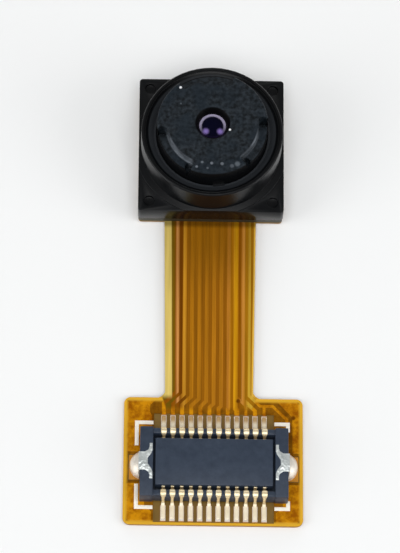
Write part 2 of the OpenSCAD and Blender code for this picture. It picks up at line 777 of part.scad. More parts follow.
module connector_housing() {
    color("#39434f") on_connector() difference() {
        slab(z_housing, z_block) rounded_rect(-housing_half_x, -housing_half_y,
            housing_half_x, housing_half_y, 0.06);
        // the long walls are set back and lower, for the contacts that wrap over them
        for (s = [0, 1]) mirror([0, s, 0]) {
            translate([-block_inner_x, wall_outer_y, 0]) cube([2 * block_inner_x, 1, 3]);
            translate([-block_inner_x, island_half_y, z_wall]) cube([2 * block_inner_x, 2, 1]);
            translate([-block_inner_x, island_half_y, z_groove])
                cube([2 * block_inner_x, groove_w, 2]);
            for (y = [wall_inner_y, wall_outer_y]) wall_edge(y);
        }
        for (s = [0, 1]) mirror([s, 0, 0]) {
            translate([island_half_x, -wall_inner_y, z_groove])
                cube([island_end_gap, 2 * wall_inner_y, 2]);
            slab(z_block - contact_t, z_block + 1) clip_top();
        }
        slab(z_island, z_block + 1)
            square([2 * island_half_x + eps, 2 * island_half_y + eps], center = true);
    }
}

// side view of one contact, from the tail's tip over the wall to the spring end by the island
half_t = contact_t / 2;
wrap = wall_chamfer - half_t * tan(22.5);
well = (groove_w - contact_t) * 0.3;
contact_path = [[tail_reach, z_tail + half_t], [wall_outer_y + contact_heel, z_tail + half_t],
    [wall_outer_y + half_t, z_tail + half_t + contact_heel * 0.6],
    [wall_outer_y + half_t, z_wall - wrap], [wall_outer_y - wrap, z_wall + half_t],
    [wall_inner_y + wrap, z_wall + half_t], [wall_inner_y - half_t, z_wall - wrap],
    [wall_inner_y - half_t, z_groove + half_t + well],
    [wall_inner_y - half_t - well, z_groove + half_t],
    [island_half_y + half_t + well, z_groove + half_t],
    [island_half_y + half_t, z_groove + half_t + well],
    [island_half_y + half_t, z_wall - 0.08]];

module contact_slice(p, w, x) {
    translate([x - w / 2, 0, 0]) rotate([90, 0, 90]) linear_extrude(w) polygon(strip(p, contact_t));
}

module contact_row(s) {
    on_connector() mirror([0, s, 0]) for (i = [0 : contacts_per_row - 1]) {
        x = -row_half_x + i * contact_pitch;
        contact_slice(contact_path, contact_leg_w, x);
        contact_slice([contact_path[0], contact_path[1]], contact_wide_w, x);
        contact_slice([contact_path[4], contact_path[5]], contact_wide_w, x);
    }
}

module far_contacts() {
    color("gold") contact_row(0);
}

module near_contacts() {
    color("gold") contact_row(1);
}

module contact_solder() {
    w = land_w - land_edge / 2;
    heel = wall_outer_y + contact_heel;
    color("silver") on_connector() for (s = [0, 1], i = [0 : contacts_per_row - 1])
        mirror([0, s, 0]) translate([-row_half_x + i * contact_pitch - w / 2, 0, 0])
            rotate([90, 0, 90]) linear_extrude(w) polygon([[heel, z_land], [toe_reach, z_land],
                [toe_reach - 0.01, z_land + solder_t / 2], [tail_reach, z_tail + contact_t * 0.7],
                [tail_reach, z_tail], [heel, z_tail]]);
}

module clip(s) {
    on_connector() mirror([s, 0, 0]) {
        slab(z_block - contact_t, z_block) clip_top();
        translate([housing_half_x, -clip_half_w, z_tail])
            cube([contact_t, 2 * clip_half_w, z_block - z_tail - contact_t / 2]);
        translate([housing_half_x, -clip_half_w, z_tail])
            cube([contact_t + clip_foot, 2 * clip_half_w, contact_t]);
    }
}

module left_clip() {
    color("lightgray") clip(1);
}

module right_clip() {
    color("lightgray") clip(0);
}

module clip_solder() {
    // solder heaped on each foot, round in plan
    r = clip_solder_r;
    h = clip_solder_h;
    color("whitesmoke") on_connector() for (s = [0, 1]) mirror([s, 0, 0]) difference() {
        intersection() {
            translate([housing_half_x - clip_solder_in, 0, z_land]) rotate_extrude()
                polygon([[0, 0], [r, 0], [0.98 * r, 0.17 * h], [0.89 * r, 0.46 * h],
                    [0.75 * r, 0.71 * h], [0.58 * r, 0.9 * h], [0, h]]);
            translate([land_x0, -r, z_land]) cube([2 * r, 2 * r, h]);
        }
        translate([0, -r, z_tail]) cube([housing_half_x + contact_t, 2 * r, h]);
        translate([0, -clip_half_w, z_tail])
            cube([housing_half_x + contact_t + clip_foot, 2 * clip_half_w, contact_t]);
    }
}

stiffener_plate();
plate_film();
lower_cover();
lower_copper();
flex_core();
upper_copper();
contact_lands();
upper_cover();
corner_marks();
pad_film();
pad_stiffener();
sensor_board();
holder_glue();
die_film();
sensor_die();
bond_pads();
bond_wires();
capacitors();
capacitor_ends();
lens_holder();
filter_glue();
ir_filter();
lens_barrel();
focus_glue();
front_lens();
aperture_ring();
middle_lens();
spacer_ring();
rear_lens();
lens_retainer();
connector_housing();
far_contacts();
near_contacts();
contact_solder();
left_clip();
right_clip();
clip_solder();
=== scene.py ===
import math

import bpy
from mathutils import Matrix, Vector


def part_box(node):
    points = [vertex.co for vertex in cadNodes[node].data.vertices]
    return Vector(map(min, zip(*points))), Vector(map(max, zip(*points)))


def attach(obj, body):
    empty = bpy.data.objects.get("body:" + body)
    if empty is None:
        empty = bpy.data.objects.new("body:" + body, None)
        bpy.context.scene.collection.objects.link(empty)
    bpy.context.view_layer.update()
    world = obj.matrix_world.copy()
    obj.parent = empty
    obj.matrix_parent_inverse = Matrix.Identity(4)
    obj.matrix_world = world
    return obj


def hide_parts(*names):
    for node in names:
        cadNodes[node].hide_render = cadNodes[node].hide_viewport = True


# Phone camera module: black lens head, amber flex tail and a two-row board connector.
# Sizes in the dictionaries are in millimetres, and mm turns them into metres.

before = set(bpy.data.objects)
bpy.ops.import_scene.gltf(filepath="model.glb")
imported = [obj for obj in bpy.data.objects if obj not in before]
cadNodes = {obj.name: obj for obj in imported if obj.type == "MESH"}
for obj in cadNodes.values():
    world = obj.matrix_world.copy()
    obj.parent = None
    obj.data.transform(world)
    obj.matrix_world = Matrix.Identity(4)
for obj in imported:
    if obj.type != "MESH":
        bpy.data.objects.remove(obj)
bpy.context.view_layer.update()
mm = 0.001
print("frame loaded:", len(cadNodes), "nodes")


def toLinear(hexColour):
    parts = [int(hexColour[i:i + 2], 16) / 255 for i in (1, 3, 5)]
    return [c / 12.92 if c <= 0.04045 else ((c + 0.055) / 1.055) ** 2.4 for c in parts] + [1.0]


def addNode(tree, kind, settings=None, values=None, links=None):
    item = tree.nodes.new(kind)
    for key, value in (settings or {}).items():
        setattr(item, key, value)
    for key, value in (values or {}).items():
        item.inputs[key].default_value = toLinear(value) if isinstance(value, str) else value
    for key, source in (links or {}).items():
        tree.links.new(source, item.inputs[key])
    return item


def newMaterial(name, values):
    # a Principled shader alone, and its object coordinates in millimetres
    material = bpy.data.materials.new(name)
    material.use_nodes = True
    tree = material.node_tree
    tree.nodes.clear()
    shader = addNode(tree, "ShaderNodeBsdfPrincipled", values=values)
    addNode(tree, "ShaderNodeOutputMaterial", links={"Surface": shader.outputs[0]})
    place = addNode(tree, "ShaderNodeTexCoord")
    coords = addNode(tree, "ShaderNodeMapping", values={"Scale": (1000, 1000, 1000)},
                     links={"Vector": place.outputs["Object"]})
    return material, tree, shader, coords.outputs[0]


def startPiece(piece):
    # only this piece selected, all of it, in edit mode
    bpy.ops.object.select_all(action="DESELECT")
    piece.select_set(True)
    bpy.context.view_layer.objects.active = piece
    bpy.ops.object.mode_set(mode="EDIT")
    bpy.ops.mesh.select_all(action="SELECT")


def applyModifier(piece, kind, **settings):
    bpy.context.view_layer.objects.active = piece
    modifier = piece.modifiers.new(kind.lower(), kind)
    for key, value in settings.items():
        setattr(modifier, key, value)
    bpy.ops.object.modifier_apply(modifier=modifier.name)


def roundEdges(piece, width, segments=2, angle=35):
    applyModifier(piece, "BEVEL", width=width * mm, segments=segments, limit_method="ANGLE",
                  angle_limit=math.radians(angle))


def copyOfNode(nodeName, pieceName):
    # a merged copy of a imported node, ready for edit mode tools
    piece = bpy.data.objects.new(pieceName, cadNodes[nodeName].data.copy())
    bpy.context.scene.collection.objects.link(piece)
    startPiece(piece)
    bpy.ops.mesh.remove_doubles(threshold=1e-7)
    bpy.ops.mesh.dissolve_limited(angle_limit=math.radians(0.5))
    bpy.ops.object.mode_set(mode="OBJECT")
    return piece


def addBlock(name, low, high, edge, segments=3):
    # a cube stretched between two corners, with all its edges rounded
    bpy.ops.object.select_all(action="DESELECT")
    middle = [(a + b) / 2 * mm for a, b in zip(low, high)]
    lengths = [(b - a) * mm for a, b in zip(low, high)]
    bpy.ops.mesh.primitive_cube_add(size=1, location=middle, scale=lengths)
    block = bpy.context.object
    block.name = name
    bpy.ops.object.transform_apply(location=True, rotation=True, scale=True)
    startPiece(block)
    bpy.ops.mesh.bevel(offset=edge * mm, segments=segments, affect="EDGES")
    bpy.ops.object.mode_set(mode="OBJECT")
    return block


def joinPieces(name, pieces):
    bpy.ops.object.select_all(action="DESELECT")
    for piece in pieces:
        piece.select_set(True)
    bpy.context.view_layer.objects.active = pieces[0]
    bpy.ops.object.join()
    joined = bpy.context.object
    joined.name = name
    return joined


def finishPiece(piece, material, slot, *replaced, smoothAngle=40):
    bpy.ops.object.select_all(action="DESELECT")
    piece.select_set(True)
    bpy.context.view_layer.objects.active = piece
    bpy.ops.object.transform_apply(location=True, rotation=True, scale=True)
    bpy.ops.object.shade_smooth_by_angle(angle=math.radians(smoothAngle))
    piece.data.materials.clear()
    piece.data.materials.append(material)
    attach(piece, "root")
    if replaced:
        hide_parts(*replaced)


def paintNode(nodeName, material):
    cadNodes[nodeName].data.materials.clear()
    cadNodes[nodeName].data.materials.append(material)


cameraSetup = {
    "target": (-0.456, -6.220, 1.0),
    "distance": 170.0,
    "azimuth": -3.0,  # degrees, 0 looks from -Y
    "elevation": 67.12,
    "roll": 3.678,
    "lens": 249.5,
}


def addCamera(setup):
    azimuth, elevation = math.radians(setup["azimuth"]), math.radians(setup["elevation"])
    back = Vector((math.sin(azimuth) * math.cos(elevation),
                   -math.cos(azimuth) * math.cos(elevation), math.sin(elevation)))
    data = bpy.data.cameras.new("camera")
    data.lens = setup["lens"]
    data.clip_start, data.clip_end = 0.005, 5
    camera = bpy.data.objects.new("camera", data)
    bpy.context.scene.collection.objects.link(camera)
    camera.location = (Vector(setup["target"]) + back * setup["distance"]) * mm
    level = back.to_track_quat("Z", "Y").to_matrix()
    camera.rotation_euler = (level @ Matrix.Rotation(math.radians(setup["roll"]), 3, "Z")).to_euler()
    bpy.context.scene.camera = camera


addCamera(cameraSetup)


floorSetup = {"size": 900, "z": -0.01, "colour": "#f6f7f7", "roughness": 0.9}


def addFloor(setup):
    bpy.ops.object.select_all(action="DESELECT")
    bpy.ops.mesh.primitive_plane_add(size=setup["size"] * mm, location=(0, 0, setup["z"] * mm))
    floor = bpy.context.object
    floor.name = "floor"
    bpy.ops.object.transform_apply(location=True)
    # paper sweep: matt, so it takes soft shadows and no glare
    sweep = newMaterial("paperSweep", {
        "Base Color": setup["colour"], "Roughness": setup["roughness"], "Specular IOR Level": 0.1})
    floor.data.materials.append(sweep[0])


addFloor(floorSetup)


lightSetup = {
    "world": 0.26,
    "softboxes": [  # name, place, size, watts
        ("topSoftbox", (0, -140, 330), 280, 0.74),
        ("leftSoftbox", (-290, -110, 150), 220, 0.38),
        ("rightSoftbox", (290, -110, 150), 220, 0.38),
        ("backSoftbox", (0, 330, 120), 220, 0.24),
    ],
}


def addLights(setup):
    for name, place, size, watts in setup["softboxes"]:
        data = bpy.data.lights.new(name, "AREA")
        data.size = size * mm
        data.energy = watts
        light = bpy.data.objects.new(name, data)
        light.location = Vector(place) * mm
        light.rotation_euler = Vector(place).to_track_quat("Z", "Y").to_euler()
        bpy.context.scene.collection.objects.link(light)
    world = bpy.data.worlds.new("studio")
    world.use_nodes = True
    background = world.node_tree.nodes["Background"]
    background.inputs["Color"].default_value = (1, 1, 1, 1)
    background.inputs["Strength"].default_value = setup["world"]
    bpy.context.scene.world = world
    bpy.context.scene.view_settings.view_transform = "Standard"


addLights(lightSetup)
print("camera, floor and lights set")


holderSetup = {
    "edge": 0.03,
    "dark": "#060708",
    "light": "#0b0d10",
    # painted sheen: the funnel's greyer colour stands in for the light it reflects
    "funnel": "#2c2f33",
    "funnelInside": 2.86,  # radius where the matt funnel begins
    "funnelBottom": 2.4,
    "funnelRoughness": 0.5,
    "baseTop": 1.40,  # the base block below this height is glossier than the turret
    "baseRoughness": 0.27,
    "roughness": 0.30,
    "flowPerMm": 0.7,
    "flowDepth": 0.004,
}


def mouldedHolderPlastic(setup):
    # liquid crystal polymer, injection moulded: near black with a clear gloss and slow flow marks;
    # the funnel under the rim is spark-finished, so it looks dull, and its greyer colour is a painted sheen
    # of reflected light
    material, tree, shader, coords = newMaterial("mouldedHolderPlastic", {
        "IOR": 1.36, "Specular IOR Level": 0.4})
    flow = addNode(tree, "ShaderNodeTexNoise", values={"Scale": setup["flowPerMm"], "Detail": 2},
                   links={"Vector": coords})
    body = addNode(tree, "ShaderNodeMix", {"data_type": "RGBA"}, {6: setup["dark"], 7: setup["light"]},
                   {0: flow.outputs[0]})
    parts = addNode(tree, "ShaderNodeSeparateXYZ", links={0: coords})
    flat = addNode(tree, "ShaderNodeCombineXYZ", links={0: parts.outputs[0], 1: parts.outputs[1]})
    radius = addNode(tree, "ShaderNodeVectorMath", {"operation": "LENGTH"}, links={0: flat.outputs[0]})
    inside = addNode(tree, "ShaderNodeMapRange", values={"From Min": setup["funnelInside"],
                                                         "From Max": setup["funnelInside"] - 0.03},
                     links={"Value": radius.outputs["Value"]})
    above = addNode(tree, "ShaderNodeMath", {"operation": "GREATER_THAN"}, {1: setup["funnelBottom"]},
                    {0: parts.outputs[2]})
    inFunnel = addNode(tree, "ShaderNodeMath", {"operation": "MULTIPLY"},
                       links={0: inside.outputs[0], 1: above.outputs[0]})
    # painted sheen: the funnel is coloured greyer than the rest of the holder
    colour = addNode(tree, "ShaderNodeMix", {"data_type": "RGBA"}, {7: setup["funnel"]},
                     {0: inFunnel.outputs[0], 6: body.outputs[2]})
    tree.links.new(colour.outputs[2], shader.inputs["Base Color"])
    gloss = addNode(tree, "ShaderNodeMapRange", values={
        "From Min": setup["baseTop"] - 0.02, "From Max": setup["baseTop"],
        "To Min": setup["baseRoughness"], "To Max": setup["roughness"]}, links={"Value": parts.outputs[2]})
    dull = addNode(tree, "ShaderNodeMapRange", values={"To Max": setup["funnelRoughness"]},
                   links={"Value": inFunnel.outputs[0], "To Min": gloss.outputs[0]})
    tree.links.new(dull.outputs[0], shader.inputs["Roughness"])
    bump = addNode(tree, "ShaderNodeBump", values={"Distance": setup["flowDepth"] * mm},
                   links={"Height": flow.outputs[0]})
    tree.links.new(bump.outputs[0], shader.inputs["Normal"])
    return material


def makeHolder(setup):
    piece = copyOfNode("lens_holder", "lensHolder")
    roundEdges(piece, setup["edge"])
    finishPiece(piece, mouldedHolderPlastic(setup), "holder_plastic", "lens_holder")


makeHolder(holderSetup)
print("lens holder made")


barrelSetup = {
    "edge": 0.03,
    "dark": "#0f1316",
    "light": "#2a3036",
    "tint": "#19222a",
    "tintPerMm": 1.1,
    "tintShare": 0.6,
    # painted shade: the throat of the recess is coloured near black
    "throatShade": "#010102",
    "throatRadius": 0.80,
    "wall": "#050608",
    "wallRadius": 2.42,  # only what lies outside this radius
    "wallTop": 3.76,  # and below this height is wall
    "faceBottom": 3.70,
    # painted highlight: a lighter grey line where the notch edges catch light
    "edgeHighlight": "#666c73",
    "edgeRadius": 2.05,  # inner edge of the notches
    "edgeStart": -0.2,  # the painted edge highlight fades in below this line
    "tabX": 0.2,  # middle of the lower tab, which has no painted edge highlight
    "tabHalf": 1.0,
    "roughness": 0.5,
    "grainPerMm": 5.5,  # spark grain is finer, drawn coarser so that it shows
    "grainDepth": 0.02,
    "pocketAngles": (190, 243, 311, 364),  # at the ends of the two lower notches
    "pocketRadius": 0.20,
    "pocketPlace": 2.27,  # distance from the axis
    "pocketBottom": 2.95,
    "specks": [  # x, y, radius, colour: pale dust, then lighter grey spots by the lower edge
        (-1.44, 1.71, 0.08, "#e8eaee"), (0.76, -0.32, 0.07, "#f2f2f4"), (-0.46, -1.92, 0.08, "#5c636a"),
        (-0.04, -1.96, 0.09, "#666c74"), (0.42, -1.98, 0.10, "#5f656c"), (-0.70, -2.14, 0.08, "#666c74"),
        (1.10, -1.98, 0.16, "#535a61"), (0.86, -2.08, 0.12, "#4a5057"), (-0.22, -2.20, 0.07, "#4d535a"),
        (-1.42, 0.92, 0.06, "#474e55")],
}


def sparkedBarrelPlastic(setup):
    # black polycarbonate from a spark-eroded mould: dull and mottled, with painted black shade in the
    # throat, a painted highlight along the inside of the lower notches and a few specks of pale dust
    material, tree, shader, coords = newMaterial("sparkedBarrelPlastic", {
        "IOR": 1.58, "Specular IOR Level": 0.08, "Roughness": setup["roughness"]})
    fine = addNode(tree, "ShaderNodeTexNoise", values={"Scale": setup["grainPerMm"], "Detail": 3},
                   links={"Vector": coords})
    spread = addNode(tree, "ShaderNodeMapRange", values={"From Min": 0.35, "From Max": 0.65},
                     links={"Value": fine.outputs[0]})
    speckle = addNode(tree, "ShaderNodeMix", {"data_type": "RGBA"}, {6: setup["dark"], 7: setup["light"]},
                      {0: spread.outputs[0]})
    broad = addNode(tree, "ShaderNodeTexNoise", values={"Scale": setup["tintPerMm"], "Detail": 2},
                    links={"Vector": coords})
    cast = addNode(tree, "ShaderNodeMapRange",
                   values={"From Min": 0.45, "From Max": 0.65, "To Max": setup["tintShare"]},
                   links={"Value": broad.outputs[0]})
    grey = addNode(tree, "ShaderNodeMix", {"data_type": "RGBA"}, {7: setup["tint"]},
                   {0: cast.outputs[0], 6: speckle.outputs[2]})
    parts = addNode(tree, "ShaderNodeSeparateXYZ", links={0: coords})
    flat = addNode(tree, "ShaderNodeCombineXYZ", links={0: parts.outputs[0], 1: parts.outputs[1]})
    radius = addNode(tree, "ShaderNodeVectorMath", {"operation": "LENGTH"}, links={0: flat.outputs[0]})
    # painted shade inside the throat of the recess
    throatShade = addNode(tree, "ShaderNodeMapRange", values={"From Min": setup["throatRadius"],
                                                         "From Max": setup["throatRadius"] - 0.05},
                     links={"Value": radius.outputs["Value"]})
    colour = addNode(tree, "ShaderNodeMix", {"data_type": "RGBA"}, {7: setup["throatShade"]},
                     {0: throatShade.outputs[0], 6: grey.outputs[2]})
    # the side wall stays in its own shade
    below = addNode(tree, "ShaderNodeMapRange", values={"From Min": setup["wallTop"],
                                                        "From Max": setup["faceBottom"]},
                    links={"Value": parts.outputs[2]})
    outside = addNode(tree, "ShaderNodeMapRange", values={"From Min": setup["wallRadius"] - 0.01,
                                                          "From Max": setup["wallRadius"] + 0.01},
                      links={"Value": radius.outputs["Value"]})
    onWall = addNode(tree, "ShaderNodeMath", {"operation": "MULTIPLY"},
                     links={0: below.outputs[0], 1: outside.outputs[0]})
    colour = addNode(tree, "ShaderNodeMix", {"data_type": "RGBA"}, {7: setup["wall"]},
                     {0: onWall.outputs[0], 6: colour.outputs[2]})
    # painted highlight along the inside edge of the two lower notches, broken up by noise
    offEdge = addNode(tree, "ShaderNodeMath", {"operation": "SUBTRACT"}, {1: setup["edgeRadius"]},
                      {0: radius.outputs["Value"]})
    nearEdge = addNode(tree, "ShaderNodeMath", {"operation": "ABSOLUTE"}, links={0: offEdge.outputs[0]})
    line = addNode(tree, "ShaderNodeMapRange", values={"From Min": 0.075, "From Max": 0.02},
                   links={"Value": nearEdge.outputs[0]})
    lower = addNode(tree, "ShaderNodeMapRange", values={"From Min": setup["edgeStart"],
                                                        "From Max": setup["edgeStart"] - 0.6},
                    links={"Value": parts.outputs[1]})
    fromTab = addNode(tree, "ShaderNodeMath", {"operation": "SUBTRACT"}, {1: setup["tabX"]},
                      {0: parts.outputs[0]})
    offTab = addNode(tree, "ShaderNodeMath", {"operation": "ABSOLUTE"}, links={0: fromTab.outputs[0]})
    besideTab = addNode(tree, "ShaderNodeMapRange", values={"From Min": setup["tabHalf"],
                                                            "From Max": setup["tabHalf"] + 0.15},
                        links={"Value": offTab.outputs[0]})
    lowerLine = addNode(tree, "ShaderNodeMath", {"operation": "MULTIPLY"},
                        links={0: line.outputs[0], 1: lower.outputs[0]})
    edgeHighlightMask = addNode(tree, "ShaderNodeMath", {"operation": "MULTIPLY"},
                     links={0: lowerLine.outputs[0], 1: besideTab.outputs[0]})
    highlightBreakup = addNode(tree, "ShaderNodeMapRange", values={"From Min": 0.40, "From Max": 0.60, "To Min": 0.25},
                   links={"Value": broad.outputs[0]})
    brokenEdgeHighlight = addNode(tree, "ShaderNodeMath", {"operation": "MULTIPLY"},
                   links={0: edgeHighlightMask.outputs[0], 1: highlightBreakup.outputs[0]})
    colour = addNode(tree, "ShaderNodeMix", {"data_type": "RGBA"}, {7: setup["edgeHighlight"]},
                     {0: brokenEdgeHighlight.outputs[0], 6: colour.outputs[2]})
    onFace = addNode(tree, "ShaderNodeMapRange", values={"From Min": setup["faceBottom"],
                                                         "From Max": setup["faceBottom"] + 0.04},
                     links={"Value": parts.outputs[2]})
    for x, y, radiusOfSpeck, tone in setup["specks"]:
        away = addNode(tree, "ShaderNodeVectorMath", {"operation": "DISTANCE"}, {1: (x, y, 0)},
                       {0: flat.outputs[0]})
        speck = addNode(tree, "ShaderNodeMapRange", {"interpolation_type": "SMOOTHSTEP"},
                        {"From Min": radiusOfSpeck, "From Max": 0.4 * radiusOfSpeck},
                        {"Value": away.outputs["Value"], "To Max": onFace.outputs[0]})
        colour = addNode(tree, "ShaderNodeMix", {"data_type": "RGBA"}, {7: tone},
                         {0: speck.outputs[0], 6: colour.outputs[2]})
    tree.links.new(colour.outputs[2], shader.inputs["Base Color"])
    bump = addNode(tree, "ShaderNodeBump", values={"Distance": setup["grainDepth"] * mm},
                   links={"Height": fine.outputs[0]})
    tree.links.new(bump.outputs[0], shader.inputs["Normal"])
    return material


def makeBarrel(setup):
    piece = copyOfNode("lens_barrel", "lensBarrel")
    roundEdges(piece, setup["edge"])
    # deep round pockets where the mould's pins stood
    for degrees in setup["pocketAngles"]:
        angle = math.radians(degrees)
        bpy.ops.object.select_all(action="DESELECT")
        bpy.ops.mesh.primitive_cylinder_add(
            vertices=24, radius=setup["pocketRadius"] * mm, depth=1.0 * mm,
            location=(setup["pocketPlace"] * math.cos(angle) * mm,
                      setup["pocketPlace"] * math.sin(angle) * mm,
                      (setup["pocketBottom"] + 0.5) * mm))
        pin = bpy.context.object
        applyModifier(piece, "BOOLEAN", operation="DIFFERENCE", object=pin, solver="EXACT")
        bpy.data.objects.remove(pin)
    finishPiece(piece, sparkedBarrelPlastic(setup), "barrel_plastic", "lens_barrel")


makeBarrel(barrelSetup)
print("lens barrel made")


lensSetup = {
    "pupil": "#04041a",
    # painted reflection: the rim goes from dark below to pale violet above
    "ringReflectionTop": "#aaa3bd",
    "ringReflectionBottom": "#120b28",
    "ringReflectionFade": (-0.45, 0.25),  # the painted reflection on the rim pales between these heights
    # painted reflection: the colour of the two violet flares
    "spot": "#8b76bd",
    "flareReflections": ((-0.30, -0.25), (0.34, -0.25)),
    "flareReflectionRadius": 0.20,
    "pupilRadius": 0.45,
    "ringRadius": 0.52,
}


def coatedLensResin(setup):
    # moulded resin with an anti-reflection coat: a black pupil inside a pale violet rim that is a painted
    # reflection, with two painted violet reflections below
    material, tree, shader, coords = newMaterial("coatedLensResin", {
        "Roughness": 0.06, "IOR": 1.53, "Specular IOR Level": 0.08})
    parts = addNode(tree, "ShaderNodeSeparateXYZ", links={0: coords})
    flat = addNode(tree, "ShaderNodeCombineXYZ", links={0: parts.outputs[0], 1: parts.outputs[1]})
    radius = addNode(tree, "ShaderNodeVectorMath", {"operation": "LENGTH"}, links={0: flat.outputs[0]})
    rise = addNode(tree, "ShaderNodeMapRange", {"interpolation_type": "SMOOTHSTEP"},
                   {"From Min": setup["pupilRadius"], "From Max": setup["ringRadius"]},
                   {"Value": radius.outputs["Value"]})
    upward = addNode(tree, "ShaderNodeMapRange", {"interpolation_type": "SMOOTHSTEP"},
                     {"From Min": setup["ringReflectionFade"][0], "From Max": setup["ringReflectionFade"][1]},
                     {"Value": parts.outputs[1]})
    # painted reflection on the rim, paler upward
    ring = addNode(tree, "ShaderNodeMix", {"data_type": "RGBA"},
                   {6: setup["ringReflectionBottom"], 7: setup["ringReflectionTop"]}, {0: upward.outputs[0]})
    colour = addNode(tree, "ShaderNodeMix", {"data_type": "RGBA"}, {6: setup["pupil"]},
                     {0: rise.outputs[0], 7: ring.outputs[2]})
    # painted reflections: two violet flares below the pupil
    for spot in setup["flareReflections"]:
        away = addNode(tree, "ShaderNodeVectorMath", {"operation": "DISTANCE"}, {1: (*spot, 0)},
                       {0: flat.outputs[0]})
        glow = addNode(tree, "ShaderNodeMapRange", {"interpolation_type": "SMOOTHSTEP"},
                       {"From Min": setup["flareReflectionRadius"], "From Max": 0.03},
                       {"Value": away.outputs["Value"]})
        colour = addNode(tree, "ShaderNodeMix", {"data_type": "RGBA"}, {7: setup["spot"]},
                         {0: glow.outputs[0], 6: colour.outputs[2]})
    tree.links.new(colour.outputs[2], shader.inputs["Base Color"])
    return material


def makeFrontLens(setup):
    piece = copyOfNode("front_lens", "frontLens")
    finishPiece(piece, coatedLensResin(setup), "lens_resin", "front_lens", smoothAngle=60)


makeFrontLens(lensSetup)
print("front lens made")


filmSetup = {
    "tailHalfAtPad": 1.93,
    "tailTaper": 0.0141,  # the tail's half width grows by this much per millimetre towards the head
    "padEndY": -11.7,
    "leftBorder": -0.83,  # share of the half width where the copper begins
    "rightBorder": 0.95,
    "border": "#dfc46c",
    "borderRight": "#dcae42",
    "overCore": {  # film between the copper lines
        "stops": [  # place across the tail as a share of its half width, and colour there
            (-0.80, "#6e5208"), (-0.74, "#8a5006"), (-0.63, "#6d3a02"), (-0.47, "#8d580a"),
            (0.34, "#8b540a"), (0.50, "#9a6208"), (0.66, "#874d02"), (0.82, "#9c690c")],
        "pad": ("#6a3f03", "#8f5c0a"),
        "headShade": 0.86,  # how dark the tail gets near the head
    },
    "overCopper": {
        "stops": [
            (-0.77, "#8a5006"), (-0.715, "#cd8e4c"), (-0.66, "#8e540a"), (-0.56, "#c48a26"),
            (-0.50, "#a96d10"), (0.28, "#ad7016"), (0.42, "#b07124"), (0.58, "#c88e10"),
            (0.68, "#9a5c0c"), (0.75, "#cb8a38"), (0.82, "#a86f10"), (0.90, "#c39a30")],
        "pad": ("#945302", "#cc8a0c"),
        "headShade": 0.78,
    },
    "middle": "#8c5a08",  # one even colour in the middle of the tail near the head
    "middleHalf": 0.46,
    "middleShare": 0.62,
    "middleFade": (-7.0, -4.0),
    "shadeFade": (-7.6, -4.2),
    "wallShade": 0.45,  # and right against the head's front wall
    "wallFade": (-3.60, -3.34),
    "padBox": ((-3.73, -17.6), (4.12, -11.7)),
    "rim": "#dca830",
    "rimWidth": 0.24,
    "viaDots": ((3.71, -12.58), (1.28, -11.82)),
    "via": "#6b3b02",
    "streaksPerMm": 1.2,
    "streakStretch": (7, 0.22, 1),
    "mottlePerMm": 2.2,
    "mottleDepth": 0.006,
    "roughness": 0.30,
}

ridgeSetup = {
    "bottom": 0.228,
    "height": 0.014,
    "round": 0.06,
    "cutY": -3.20,
    "stretch": 6.0,  # the lines are this much taller while their edges are rounded wide and low
}

markSetup = {"lift": 0.007, "edge": 0.01, "dark": "#f6ead2", "light": "#fffdf6", "roughness": 0.6}


